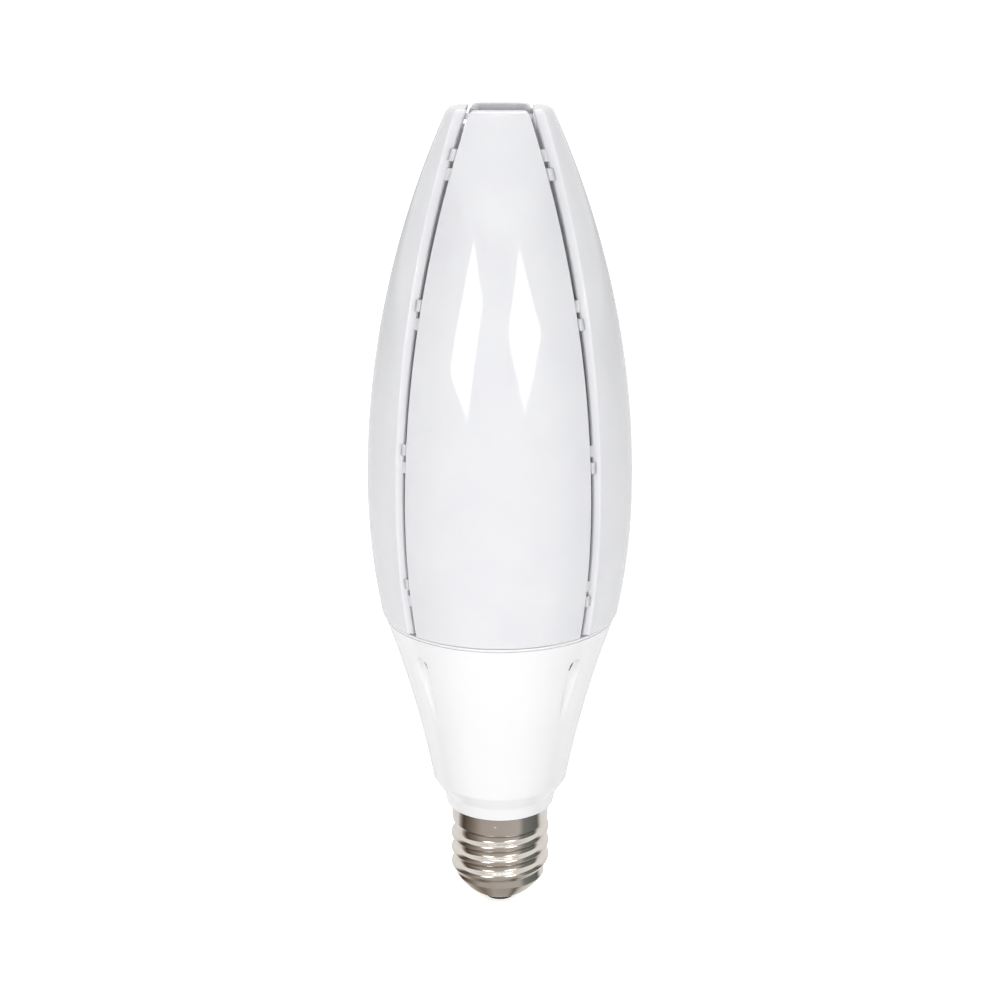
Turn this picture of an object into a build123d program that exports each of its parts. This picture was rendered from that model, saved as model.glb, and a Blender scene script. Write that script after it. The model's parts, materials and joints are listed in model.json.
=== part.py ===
from build123d import *
import os
from math import asin, cos, degrees, hypot, radians, sin, sqrt

# Olive-shaped LED lamp, in millimetres. The axis is Z, the screw cap points down,
# the origin is the middle of the contact's lower face, and one leaf faces -Y.

# Centre contact and the glass insulator round it
contact_radius = 4.4
contact_thickness = 1.0
contact_edge_radius = 0.8
contact_stem_radius = 1.5
contact_stem_length = 5.0
insulator_rim = 0.5
insulator_seat_radius = 8.6
insulator_seat_height = 3.0
insulator_seat_thickness = 2.0

# Screw cap, E40 size: rounded tip, knuckle thread and skirt
cap_wall = 0.5
cap_tip_radius = 6.3
cap_tip_height = 9.7
cap_tip_bulge = 1.2
cap_plain_length = 2.4
thread_pitch = 6.35
thread_crest_radius = 19.65
thread_root_radius = 17.75
thread_crests = 3
thread_runout = 1.0
cap_skirt_radius = 19.25
cap_skirt_length = 7.6
cap_groove_depth = 1.6

# Driver housing: spigot inside the cap, neck, shoulder, flared cone and rim
housing_wall = 2.2
spigot_length = 12.0
spigot_wall = 2.0
neck_floor = 1.8
neck_height = 5.4
neck_bottom_radius = 21.2
neck_top_radius = 22.4
shoulder_rise = 6.1
shoulder_radius = 26.6
cone_height = 69.8
cone_sag = 1.5
rim_wall = 3.6
rim_bead_height = 0.8
rim_bead_step = 0.25
carrier_ledge = 1.6

# Air scoops below the slots: a round-nosed cutter that sinks through the wall
scoop_cutter_radius = 2.7
scoop_depth = 3.9
scoop_top_drop = 12.6
scoop_bottom_drop = 37.6

# Carrier plate in the mouth of the housing, and its screws
carrier_drop = 8.1
carrier_thickness = 3.0
carrier_opening_radius = 14.0
screw_inset = 9.0
screw_radius = 1.4
screw_length = 9.0
screw_head_radius = 2.6
screw_head_height = 1.8
boss_wall = 1.9
boss_height = 10.0

# Diffuser leaves: moulded trays that share one olive-shaped surface
leaf_names = ("right", "back", "left", "front")
leaf_wall = 1.6
leaf_foot_gap = 2.4
leaf_foot_drop = 4.5
leaf_overhang = 0.9
belly_height = 49.9
belly_radius = 50.6
leaf_height = 192.9
leaf_top_radius = 18.9
leaf_edge_radius = 0.8
leaf_top_edge_radius = 0.7
slot_half_foot = 1.5
slot_half_middle = 2.2
slot_half_top = 3.3
tongue_thickness = 1.8
tongue_half_angle = 30.0

# Snap tabs that reach across the slots, on both long edges of each leaf
tab_count = 4
tab_first_height = 15.7
tab_last_drop = 20.9
tab_stagger = 6.2
tab_height = 4.5
tab_depth = 1.8
tab_inset = 1.1
tab_root = 2.6
tab_gap = 0.8

# LED boards: aluminium-core strips, bent lengthwise, that close the trays
board_thickness = 1.6
board_corner_inset = 0.53
board_top_corner_inset = 0.96
board_top_gap = 7.0
board_foot_half_width = 18.0

# LED packages in two columns on each board
chip_width = 3.5
chip_height = 2.8
chip_thickness = 0.8
chip_rows = 15
chip_row_spacing = 11.0
chip_first_height = 12.0
chip_column_reach = 7.0

# Driver board, upright in the housing, and what stands on it
driver_thickness = 1.6
driver_foot_gap = 2.2
driver_foot_height = 8.0
driver_edge_gap = 2.0
driver_widen_height = 44.0
rib_thickness = 1.6
rib_depth = 4.0
rib_height = 9.0
winding_radius = 7.0
winding_height = 12.0
winding_clearance = 0.5
core_leg = 2.5
core_yoke = 4.0
transformer_rise = 52.0
capacitor_radius = 6.5
capacitor_height = 24.0
capacitor_gap = 2.0
capacitor_rise = 38.0
capacitor_edge_radius = 0.8
choke_radius = 5.0
choke_waist_radius = 3.6
choke_flange = 2.0
choke_depth = 12.0
choke_rise = 27.0
rectifier_size = (10.0, 3.5, 8.0)
rectifier_reach = 11.0
rectifier_rise = 20.0
switch_size = (10.0, 4.5, 15.0)
switch_reach = 12.0
switch_rise = 50.0
fuse_radius = 1.6
fuse_length = 9.0
fuse_reach = 7.0
fuse_rise = 9.0
varistor_radius = 4.5
varistor_depth = 3.5
varistor_reach = 9.0
varistor_rise = 14.0

# Insulated leads and the jumpers between boards
lead_radius = 0.8
lead_bend_radius = 2.5
neutral_lead_reach = 12.0
output_lead_reach = 6.0
output_lead_rise = 12.0
jumper_reach = 24.0
jumper_rise = 16.0

# Fits: pieces that slide together, and pieces that rest on each other
slide_fit = 0.3
seat_gap = 0.1

# Heights that follow, from the contact up
tip_z = contact_thickness + insulator_rim
plain_z = tip_z + cap_tip_height
first_root_z = plain_z + cap_plain_length
skirt_z = first_root_z + thread_pitch * (thread_crests + 0.25) + thread_runout
neck_bottom_z = skirt_z + cap_skirt_length
groove_top_z = neck_bottom_z + cap_groove_depth
neck_floor_z = groove_top_z + neck_floor
neck_top_z = neck_bottom_z + neck_height
shoulder_z = neck_top_z + shoulder_rise
rim_z = shoulder_z + cone_height
carrier_z = rim_z - carrier_drop
carrier_top_z = carrier_z + carrier_thickness
leaf_foot_z = rim_z + leaf_foot_gap
leaf_top_z = rim_z + leaf_height
belly_z = rim_z + belly_height
board_foot_z = carrier_top_z + seat_gap
board_top_z = leaf_top_z - board_top_gap
driver_foot_z = neck_floor_z + seat_gap
driver_top_z = carrier_z - seat_gap

# Radii and spacings that follow
leaf_foot_radius = belly_radius - leaf_foot_drop
rim_radius = leaf_foot_radius - leaf_overhang
screw_circle_radius = rim_radius - screw_inset
board_belly_reach = belly_radius / sqrt(2) - board_corner_inset
board_top_drop = board_belly_reach + board_top_corner_inset - leaf_top_radius / sqrt(2)
board_bend_radius = ((leaf_top_z - belly_z) ** 2 + board_top_drop**2) / (2 * board_top_drop)
tab_spacing = (leaf_height - tab_first_height - tab_last_drop) / (tab_count - 1)
spigot_radius = thread_root_radius - cap_wall - slide_fit
spigot_bore = spigot_radius - spigot_wall
neck_bore = neck_top_radius - housing_wall
rim_bore = rim_radius - rim_wall
tongue_radius = rim_bore - slide_fit
driver_face = driver_thickness / 2 + seat_gap
winding_room = 2 * (winding_radius + winding_clearance)
transformer_width = winding_room + 2 * core_leg
DIAGONAL = radians(45)

# Ends of the cone's two walls, as radius and height
cone_ends = ((shoulder_radius, shoulder_z), (rim_radius, rim_z))
hollow_ends = ((shoulder_radius - housing_wall, shoulder_z), (rim_bore - carrier_ledge, carrier_z))


def revolved(outline):
    """Turn a closed outline of radius and height about the axis."""
    return revolve(Plane.XZ * make_face(outline), Axis.Z)


def shaft(radius, length, x=0.0, y=0.0, z=0.0):
    """Upright cylinder that starts at a point."""
    align = (Align.CENTER, Align.CENTER, Align.MIN)
    return Pos(x, y, z) * Cylinder(radius, length, align=align)


def on_face(shape_depth, side):
    """Distance of a component's middle from the driver board's middle plane."""
    return side * (driver_face + shape_depth / 2)


def about_axis(shape):
    """One copy of a shape for each leaf, turned about the lamp's axis."""
    turn = 360 / len(leaf_names)
    return [Rot(0, 0, turn * place) * shape for place in range(len(leaf_names))]


def lead(path):
    """Round insulated wire along a path."""
    section = Plane(origin=path @ 0, z_dir=path % 0) * Circle(lead_radius)
    return sweep(section, path)


def save(name, shape):
    """Write one piece, or one group of like pieces, to its own file."""
    export_step(shape, f"parts/{name}.step")


# Cap


def centre_contact():
    """Contact button with a turned edge and the stem that holds it in the glass."""
    button = shaft(contact_radius, contact_thickness)
    button = fillet(button.edges().group_by(Axis.Z)[0], contact_edge_radius)
    return button + shaft(contact_stem_radius, contact_stem_length, z=contact_thickness)


def cap_insulator():
    """Glass plug in the shell's open tip, with a wider seat inside the cone."""
    low = contact_thickness + seat_gap
    seat_z = tip_z + insulator_seat_height
    plug = shaft(cap_tip_radius - slide_fit, seat_z - low, z=low)
    seat = shaft(insulator_seat_radius, insulator_seat_thickness, z=seat_z)
    bore = shaft(contact_stem_radius + seat_gap, insulator_seat_thickness + seat_z)
    return plug + seat - bore


def cap_side(inset):
    """One side of the shell's section, from tip to skirt, set in by the wall.

    Crests and roots of the knuckle thread are equal arcs that meet halfway up
    each flank; an inset moves every arc along its own radius.
    """
    quarter = thread_pitch / 4
    rise = (thread_crest_radius - thread_root_radius) / 2
    bend = (quarter**2 + rise**2) / (2 * rise)
    flank_radius = thread_root_radius + rise - inset * (bend - rise) / bend
    flank_shift = inset * quarter / bend
    root_radius = thread_root_radius - inset
    tip = Vector(cap_tip_radius, tip_z + inset)
    plain = Vector(root_radius, plain_z)
    across = (plain - tip).rotate(Axis.Z, -90).normalized()
    bulge = (tip + plain) * 0.5 + across * cap_tip_bulge
    low = (root_radius, first_root_z)
    flank = (flank_radius, first_root_z + quarter + flank_shift)
    edges = [ThreePointArc(tip, bulge, plain), Line(plain, low)]
    edges.append(TangentArc(low, flank, tangent=(0, 1)))
    for turn in range(thread_crests):
        crest_z = first_root_z + thread_pitch * (turn + 0.5)
        crest = (thread_crest_radius - inset, crest_z)
        upper = (flank_radius, crest_z + quarter - flank_shift)
        root = (root_radius, crest_z + 2 * quarter)
        edges.append(ThreePointArc(flank, crest, upper))
        flank = (flank_radius, crest_z + 3 * quarter + flank_shift)
        edges.append(ThreePointArc(upper, root, flank))
    skirt = (cap_skirt_radius - inset, skirt_z)
    top = (cap_skirt_radius - inset, groove_top_z - slide_fit)
    edges.append(Polyline(flank, skirt, top))
    return edges, tip, Vector(top)


def cap_shell():
    """Thin drawn shell: tip, thread and skirt."""
    outer, outer_tip, outer_top = cap_side(0)
    inner, inner_tip, inner_top = cap_side(cap_wall)
    ends = [Line(outer_tip, inner_tip), Line(outer_top, inner_top)]
    return revolved(outer + inner + ends)


# Housing


def flare_arc(low, high, sag):
    """Arc between two points of radius and height that sags towards the axis."""
    start, end = Vector(low), Vector(high)
    inward = (end - start).rotate(Axis.Z, 90).normalized()
    return ThreePointArc(start, (start + end) * 0.5 + inward * sag, end)


def flare_radius(low, high, sag, z):
    """Radius of such an arc at a height."""
    wide, tall = high[0] - low[0], high[1] - low[1]
    chord = hypot(wide, tall)
    bend = (chord**2 / 4 + sag**2) / (2 * sag)
    out = bend - sag
    middle_radius = (high[0] + low[0]) / 2 + out * tall / chord
    middle_z = (high[1] + low[1]) / 2 - out * wide / chord
    return middle_radius - sqrt(bend**2 - (z - middle_z) ** 2)


def cone_radius(z):
    """Outer radius of the flared cone at a height."""
    return flare_radius(*cone_ends, cone_sag, z)


def housing_skin():
    """Outside of the housing as one closed solid, with the groove for the shell."""
    bead_z = rim_z - rim_bead_height
    groove_outer = cap_skirt_radius + slide_fit
    groove_inner = cap_skirt_radius - cap_wall - slide_fit
    flare = flare_arc(*cone_ends, cone_sag)
    outline = [
        Polyline(
            (0, neck_bottom_z - spigot_length),
            (spigot_radius, neck_bottom_z - spigot_length),
            (spigot_radius, neck_bottom_z),
            (groove_inner, neck_bottom_z),
            (groove_inner, groove_top_z),
            (groove_outer, groove_top_z),
            (groove_outer, neck_bottom_z),
            (neck_bottom_radius, neck_bottom_z),
            (neck_top_radius, neck_top_z),
            (shoulder_radius, shoulder_z),
        ),
        flare,
        Polyline((rim_radius, rim_z), (0, rim_z), (0, neck_bottom_z - spigot_length)),
    ]
    step_radius = cone_radius(bead_z) - rim_bead_step
    below = shaft(2 * rim_radius, rim_bead_step, z=bead_z - rim_bead_step)
    line_cut = below - shaft(step_radius, rim_bead_step, z=bead_z - rim_bead_step)
    return revolved(outline) - line_cut


def housing_hollow():
    """Room inside the housing, from the spigot's bore to the mouth."""
    low, ledge = hollow_ends
    outline = [
        Polyline(
            (0, neck_bottom_z - spigot_length),
            (spigot_bore, neck_bottom_z - spigot_length),
            (spigot_bore, neck_floor_z),
            (neck_bore, neck_floor_z),
            (neck_bore, neck_top_z),
            low,
        ),
        flare_arc(low, ledge, cone_sag),
        Polyline(
            ledge,
            (rim_bore, carrier_z),
            (rim_bore, rim_z),
            (0, rim_z),
            (0, neck_bottom_z - spigot_length),
        ),
    ]
    return revolved(outline)


def scoop_cutter():
    """Round-nosed cutter that enters at the low end and sinks below the skin."""
    high_z, low_z = rim_z - scoop_top_drop, rim_z - scoop_bottom_drop
    high_radius = cone_radius(high_z) - scoop_depth + scoop_cutter_radius
    low_radius = cone_radius(low_z) + scoop_cutter_radius
    high = Vector(high_radius, 0, high_z)
    low = Vector(low_radius, 0, low_z)
    nose = Pos(high) * Sphere(scoop_cutter_radius)
    run = Plane(origin=low, z_dir=high - low) * shaft(scoop_cutter_radius, (high - low).length)
    return Rot(0, 0, degrees(DIAGONAL)) * (nose + run)


def driver_ribs():
    """Two pairs of ribs on the neck's wall that hold the driver board's foot."""
    rib_middle = driver_thickness / 2 + slide_fit + rib_thickness / 2
    rib_width = rib_depth + housing_wall / 2
    reach = neck_bore + housing_wall / 2 - rib_width / 2
    rib = Pos(reach, 0, neck_floor_z + rib_height / 2) * Box(rib_width, rib_thickness, rib_height)
    pair = Pos(0, rib_middle, 0) * rib + Pos(0, -rib_middle, 0) * rib
    return pair + Rot(0, 0, 180) * pair


def screw_bosses():
    """Posts under the carrier that take its screws."""
    radius = screw_radius + boss_wall
    boss = shaft(radius, boss_height, x=screw_circle_radius, z=carrier_z - boss_height)
    return about_axis(boss)


def driver_housing():
    """Moulded white housing with bosses, ribs and air scoops."""
    pilot = shaft(screw_radius, screw_length, x=screw_circle_radius, z=carrier_top_z - screw_length)
    skin = housing_skin()
    shell = skin - housing_hollow() + (driver_ribs() + screw_bosses() & skin)
    shell = shell - about_axis(scoop_cutter())
    return shell - about_axis(pilot)


def leaf_carrier():
    """Round plate that leaves and boards stand on, open in the middle for air."""
    plate = shaft(tongue_radius, carrier_thickness, z=carrier_z)
    plate = plate - shaft(carrier_opening_radius, carrier_thickness, z=carrier_z)
    hole = shaft(screw_radius + slide_fit, carrier_thickness, x=screw_circle_radius, z=carrier_z)
    return plate - about_axis(hole)


def carrier_screw():
    """Pan-head screw through the carrier into its boss."""
    radius = screw_radius - seat_gap
    head_z = carrier_top_z + seat_gap
    shank_z = carrier_top_z - screw_length + seat_gap
    shank = shaft(radius, screw_length, x=screw_circle_radius, z=shank_z)
    head = shaft(screw_head_radius, screw_head_height, x=screw_circle_radius, z=head_z)
    return shank + fillet(head.edges().group_by(Axis.Z)[-1], screw_head_height / 2)


# Leaves and boards, modelled facing +X


def olive_radius(z):
    """Radius of the leaves' shared surface: two arcs that meet upright at the belly."""
    end_z, end_radius = (leaf_top_z, leaf_top_radius)
    if z < belly_z:
        end_z, end_radius = (leaf_foot_z, leaf_foot_radius)
    drop = belly_radius - end_radius
    bend = ((end_z - belly_z) ** 2 + drop**2) / (2 * drop)
    return belly_radius - bend + sqrt(bend**2 - (z - belly_z) ** 2)


def board_reach(z):
    """Distance of the boards' outer face from the axis at a height."""
    bend = board_bend_radius
    return board_belly_reach - bend + sqrt(bend**2 - (z - belly_z) ** 2)


def slot_half(z):
    """Half the width of the slot at a height: a parabola through foot, middle and top."""
    share = (z - leaf_foot_z) / (leaf_top_z - leaf_foot_z)
    bow = 4 * slot_half_middle - 2 * slot_half_foot - 2 * slot_half_top
    straight = slot_half_foot + (slot_half_top - slot_half_foot) * share
    return straight + bow * share * (1 - share)


def slot_plane(side):
    """Plane through the axis at a slot: X points into the leaf, Y up."""
    into_leaf = (sin(DIAGONAL), -side * cos(DIAGONAL), 0)
    return Plane(origin=(0, 0, 0), x_dir=into_leaf, z_dir=(-side * cos(DIAGONAL), -sin(DIAGONAL), 0))


def beyond_slot(side, inset):
    """Everything on the far side of a leaf's long edge, set in by a wall."""
    low_z, high_z = carrier_z, leaf_top_z + leaf_wall
    middle_z = (leaf_foot_z + leaf_top_z) / 2
    foot = (slot_half_foot + inset, leaf_foot_z)
    middle = (slot_half(middle_z) + inset, middle_z)
    top = (slot_half_top + inset, leaf_top_z)
    far = -2 * belly_radius
    outline = [
        ThreePointArc(foot, middle, top),
        Polyline(top, (top[0], high_z), (far, high_z), (far, low_z), (foot[0], low_z), foot),
    ]
    return extrude(slot_plane(side) * make_face(outline), 2 * belly_radius, both=True)


def olive(inset):
    """Solid under the leaves' surface, set in by a wall on every side."""
    foot = (olive_radius(leaf_foot_z) - inset, leaf_foot_z + inset)
    belly = (belly_radius - inset, belly_z)
    top = (leaf_top_radius - inset, leaf_top_z - inset)
    outline = [
        TangentArc(belly, foot, tangent=(0, -1)),
        TangentArc(belly, top, tangent=(0, 1)),
        Polyline(top, (0, top[1]), (0, foot[1]), foot),
    ]
    return revolved(outline)


def behind_board():
    """Everything on the axis side of the boards' outer face."""
    low_z, high_z = carrier_z, leaf_top_z + leaf_wall
    low, high = (board_reach(low_z), low_z), (board_reach(high_z), high_z)
    far = -2 * belly_radius
    outline = [
        ThreePointArc(low, (board_belly_reach, belly_z), high),
        Polyline(high, (far, high_z), (far, low_z), low),
    ]
    return extrude(Plane.XZ * make_face(outline), 2 * belly_radius, both=True)


def board_room(inset):
    """Room behind a leaf's inner edge, within its side walls and skin, set in by a clearance."""
    return (behind_board() & olive(leaf_wall + inset)) - beyond_slot(1, inset) - beyond_slot(-1, inset)


def leaf_sector(inset):
    """Part of the olive between two slots, set in by a wall."""
    return olive(inset) - beyond_slot(1, inset) - beyond_slot(-1, inset)


def is_long_edge(edge):
    """Whether an edge runs up the leaf where the skin turns into a side wall."""
    point = edge @ 0.5
    skin = abs(hypot(point.X, point.Y) - olive_radius(point.Z)) < seat_gap
    return skin and abs(point.Y) > 2 * slot_half(point.Z) and abs(edge.tangent_at(0.5).Z) > 0.5


def is_top_edge(edge):
    """Whether an edge runs round the leaf's top, apart from the one over the board."""
    level = all(abs((edge @ share).Z - leaf_top_z) < seat_gap for share in (0, 0.5, 1))
    return level and (edge @ 0.5).X > board_reach(leaf_top_z) + seat_gap


def snap_tab(side, z):
    """Small block below the skin that grows from one side wall and reaches across the slot."""
    gap = slot_half(z)
    width = 2 * gap - tab_gap + tab_root
    lowest_skin = min(olive_radius(z - tab_height / 2), olive_radius(z + tab_height / 2))
    reach = sqrt(lowest_skin**2 - gap**2) - tab_inset
    block = Box(width, tab_height, tab_depth)
    across = gap + tab_root - width / 2
    return slot_plane(side) * Pos(across, z, -side * (reach - tab_depth / 2)) * block


def snap_tabs():
    """Tabs of one leaf, staggered from edge to edge, clear of the room for its board."""
    tabs = []
    for place in range(tab_count):
        z = rim_z + tab_first_height + place * tab_spacing
        tabs += [snap_tab(1, z), snap_tab(-1, z + tab_stagger)]
    return Part() + tabs - board_room(0)


def foot_tongue():
    """Curved tongue below the leaf that stands in the housing's mouth."""
    height = leaf_foot_z + leaf_wall / 2 - board_foot_z
    ring = shaft(tongue_radius, height, z=board_foot_z)
    ring = ring - shaft(tongue_radius - tongue_thickness, height, z=board_foot_z)
    reach = 2 * tongue_radius
    spread = reach * sin(radians(tongue_half_angle)) / cos(radians(tongue_half_angle))
    wedge = make_face(Polyline((0, 0), (reach, -spread), (reach, spread), close=True))
    return ring & Pos(0, 0, board_foot_z) * extrude(wedge, height)


def diffuser():
    """One leaf: a filleted tray with tabs on its edges and a tongue at its foot."""
    skin = leaf_sector(0)
    skin = fillet(skin.edges().filter_by(is_long_edge), leaf_edge_radius) - behind_board()
    skin = fillet(skin.edges().filter_by(is_top_edge), leaf_top_edge_radius)
    return skin - leaf_sector(leaf_wall) + foot_tongue() + snap_tabs()


def led_board():
    """Bent strip that closes a leaf's tray, with a narrower foot down to the carrier."""

    def face_arc(depth):
        heights = (board_foot_z, belly_z, board_top_z)
        points = [(board_reach(z) - depth, z) for z in heights]
        return ThreePointArc(*points), points[0], points[-1]

    front, front_low, front_high = face_arc(seat_gap)
    back, back_low, back_high = face_arc(seat_gap + board_thickness)
    outline = [front, back, Line(front_low, back_low), Line(front_high, back_high)]
    strip = extrude(Plane.XZ * make_face(outline), 2 * belly_radius, both=True)
    foot_height = leaf_foot_z + 2 * leaf_wall - board_foot_z
    foot = Box(2 * belly_radius, 2 * board_foot_half_width, foot_height)
    foot = Pos(0, 0, board_foot_z + foot_height / 2) * foot
    return (strip & board_room(slide_fit)) + (strip & foot)


def led_chips():
    """LED packages of one board, each square to the bent board."""
    align = (Align.MIN, Align.CENTER, Align.CENTER)
    chip = Box(chip_thickness, chip_width, chip_height, align=align)
    chips = []
    for row in range(chip_rows):
        z = rim_z + chip_first_height + row * chip_row_spacing
        tilt = degrees(asin((z - belly_z) / board_bend_radius))
        for side in (1, -1):
            place = Pos(board_reach(z), side * chip_column_reach, z)
            chips.append(place * Rot(0, -tilt, 0) * chip)
    return chips


# Driver


def driver_board():
    """Upright board that stands on the neck's floor and widens with the cone."""
    widen_z = driver_foot_z + driver_widen_height
    foot_half = neck_bore - driver_foot_gap
    top_half = flare_radius(*hollow_ends, cone_sag, widen_z) - driver_edge_gap
    half = [
        (foot_half, driver_foot_z),
        (foot_half, driver_foot_z + driver_foot_height),
        (top_half, widen_z),
        (top_half, driver_top_z),
    ]
    other_half = [(-x, z) for x, z in reversed(half)]
    outline = Plane.XZ * make_face(Polyline(*half, *other_half, close=True))
    return extrude(outline, driver_thickness / 2, both=True)


def transformer():
    """Ferrite frame with the winding through its middle."""
    frame = Box(transformer_width, winding_room, winding_height + 2 * core_yoke)
    window = Box(winding_room, winding_room, winding_height)
    core = frame - window + Cylinder(winding_radius, winding_height)
    return Pos(0, on_face(winding_room, -1), driver_foot_z + transformer_rise) * core


def capacitor(side):
    """Electrolytic can, upright on the driver board."""
    can = shaft(capacitor_radius, capacitor_height)
    can = fillet(can.edges().filter_by(GeomType.CIRCLE), capacitor_edge_radius)
    x = side * (transformer_width / 2 + capacitor_gap + capacitor_radius)
    return Pos(x, on_face(2 * capacitor_radius, -1), driver_foot_z + capacitor_rise) * can


def filter_choke():
    """Drum choke: a waist between two flanges, end on to the board."""
    waist = Cylinder(choke_waist_radius, choke_depth)
    flange = Cylinder(choke_radius, choke_flange)
    shift = (choke_depth - choke_flange) / 2
    drum = waist + Pos(0, 0, shift) * flange + Pos(0, 0, -shift) * flange
    return Pos(0, on_face(choke_depth, -1), driver_foot_z + choke_rise) * Rot(90, 0, 0) * drum


def flat_package(size, x, rise):
    """Moulded package that lies on the back of the driver board."""
    return Pos(x, on_face(size[1], 1), driver_foot_z + rise) * Box(*size)


def fuse():
    """Tubular fuse across the board."""
    place = Pos(fuse_reach, on_face(2 * fuse_radius, -1), driver_foot_z + fuse_rise)
    return place * Rot(0, 90, 0) * Cylinder(fuse_radius, fuse_length)


def varistor():
    """Disc that lies flat on the board."""
    place = Pos(-varistor_reach, on_face(varistor_depth, -1), driver_foot_z + varistor_rise)
    return place * Rot(90, 0, 0) * Cylinder(varistor_radius, varistor_depth)


# Leads


def live_lead():
    """Straight wire from the contact's stem to the foot of the driver board."""
    low = contact_thickness + contact_stem_length + seat_gap
    return shaft(lead_radius, driver_foot_z - seat_gap - low, z=low)


def neutral_lead():
    """Wire from the driver board's foot, out below the spigot, to the shell."""
    root_z = first_root_z + thread_pitch
    shell_reach = thread_root_radius - cap_wall - seat_gap
    path = FilletPolyline(
        (-neutral_lead_reach, 0, driver_foot_z - seat_gap),
        (-neutral_lead_reach, 0, root_z),
        (-shell_reach, 0, root_z),
        radius=lead_bend_radius,
    )
    return lead(path)


def output_lead(side):
    """Wire from the top of the driver board, through the carrier, to a board's back."""
    end_z = carrier_top_z + output_lead_rise
    back = board_reach(end_z - lead_radius) - board_thickness - slide_fit
    path = FilletPolyline(
        (side * output_lead_reach, 0, driver_top_z + seat_gap),
        (side * output_lead_reach, 0, end_z),
        (side * back, 0, end_z),
        radius=lead_bend_radius,
    )
    return lead(path)


def jumper():
    """Short straight wire across a corner, between the backs of two boards."""
    z = carrier_top_z + jumper_rise
    back = board_reach(z) - board_thickness - slide_fit - lead_radius
    start, end = Vector(back, jumper_reach, z), Vector(jumper_reach, back, z)
    return Plane(origin=start, z_dir=end - start) * shaft(lead_radius, (end - start).length)


os.makedirs("parts", exist_ok=True)

save("centre_contact", centre_contact())
save("cap_insulator", cap_insulator())
save("cap_shell", cap_shell())
save("driver_housing", driver_housing())
save("leaf_carrier", leaf_carrier())
save("carrier_screws", Compound(children=about_axis(carrier_screw())))

chip_group = Compound(children=led_chips())
pieces = zip(leaf_names, about_axis(diffuser()), about_axis(led_board()), about_axis(chip_group))
for leaf_name, leaf, board, chips in pieces:
    save(f"diffuser_{leaf_name}", leaf)
    save(f"led_board_{leaf_name}", board)
    save(f"led_chips_{leaf_name}", chips)

save("driver_board", driver_board())
save("transformer", transformer())
save("bulk_capacitor", capacitor(-1))
save("output_capacitor", capacitor(1))
save("filter_choke", filter_choke())
save("bridge_rectifier", flat_package(rectifier_size, -rectifier_reach, rectifier_rise))
save("power_switch", flat_package(switch_size, switch_reach, switch_rise))
save("fuse", fuse())
save("varistor", varistor())

jumpers = about_axis(jumper())[:-1]
save("live_lead", live_lead())
save("neutral_lead", neutral_lead())
save("board_leads", Compound(children=[output_lead(1), output_lead(-1), *jumpers]))
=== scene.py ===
# %% [markdown]
# # An olive-shaped LED lamp
# The lamp is four milky plastic leaves on a flared white housing, with a nickel screw cap below.
# The solids already have the right sizes. Here each piece that shows gets a smooth surface and a
# finish, and the pieces inside get theirs too. Lengths are in millimetres until a mesh is made.

# %% Load the solids
import json

import bmesh
import bpy
import numpy as np
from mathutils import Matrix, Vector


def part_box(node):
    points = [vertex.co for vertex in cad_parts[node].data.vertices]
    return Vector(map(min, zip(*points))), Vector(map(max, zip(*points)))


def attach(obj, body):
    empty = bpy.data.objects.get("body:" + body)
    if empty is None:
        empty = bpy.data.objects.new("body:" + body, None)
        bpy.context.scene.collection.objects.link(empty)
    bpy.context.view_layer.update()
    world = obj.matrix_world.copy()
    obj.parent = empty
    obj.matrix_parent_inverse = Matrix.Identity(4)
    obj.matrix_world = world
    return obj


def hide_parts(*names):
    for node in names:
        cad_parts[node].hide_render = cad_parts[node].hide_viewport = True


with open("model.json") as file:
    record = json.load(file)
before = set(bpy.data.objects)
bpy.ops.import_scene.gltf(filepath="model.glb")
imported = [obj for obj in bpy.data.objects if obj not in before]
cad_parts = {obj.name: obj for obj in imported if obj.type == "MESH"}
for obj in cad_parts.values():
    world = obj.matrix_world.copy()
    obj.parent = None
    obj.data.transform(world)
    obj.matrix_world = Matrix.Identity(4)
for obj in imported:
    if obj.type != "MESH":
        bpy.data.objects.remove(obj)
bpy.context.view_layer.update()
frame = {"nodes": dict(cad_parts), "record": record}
METRES = 0.001


def box_mm(node):
    """Lowest and highest corner of a solid, in millimetres."""
    return [np.array(corner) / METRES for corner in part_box(node)]


# %% [markdown]
# ## From a grid of points to a mesh
# Every new piece is one or more sheets. A sheet is a grid of points that numpy works out at once,
# and its faces join neighbouring points. Sheets that share points are welded, so that a piece is a
# closed skin, and the signed volume tells whether its faces point outwards.

# %% Grids and pieces
weld_distance, sliver_length = 0.002, 0.0005


def grid_faces(rows, columns, around=False, along=False):
    """Corner numbers of a grid's four-sided faces, the points being numbered row by row.

    around joins the last column to the first, and along joins the last row to the first.
    """
    row = np.arange(rows if along else rows - 1)[:, None]
    column = np.arange(columns if around else columns - 1)[None, :]
    next_row, next_column = (row + 1) % rows, (column + 1) % columns
    corners = ((row, column), (row, next_column), (next_row, next_column), (next_row, column))
    return np.stack([r * columns + c for r, c in corners], axis=-1).reshape(-1, 4)


def joined(*sheets):
    """One sheet of points and faces from several."""
    counts = np.cumsum([0] + [len(sheet[0]) for sheet in sheets[:-1]])
    points = np.concatenate([sheet[0] for sheet in sheets])
    faces = np.concatenate([sheet[1] + count for sheet, count in zip(sheets, counts)])
    return points, faces


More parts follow.
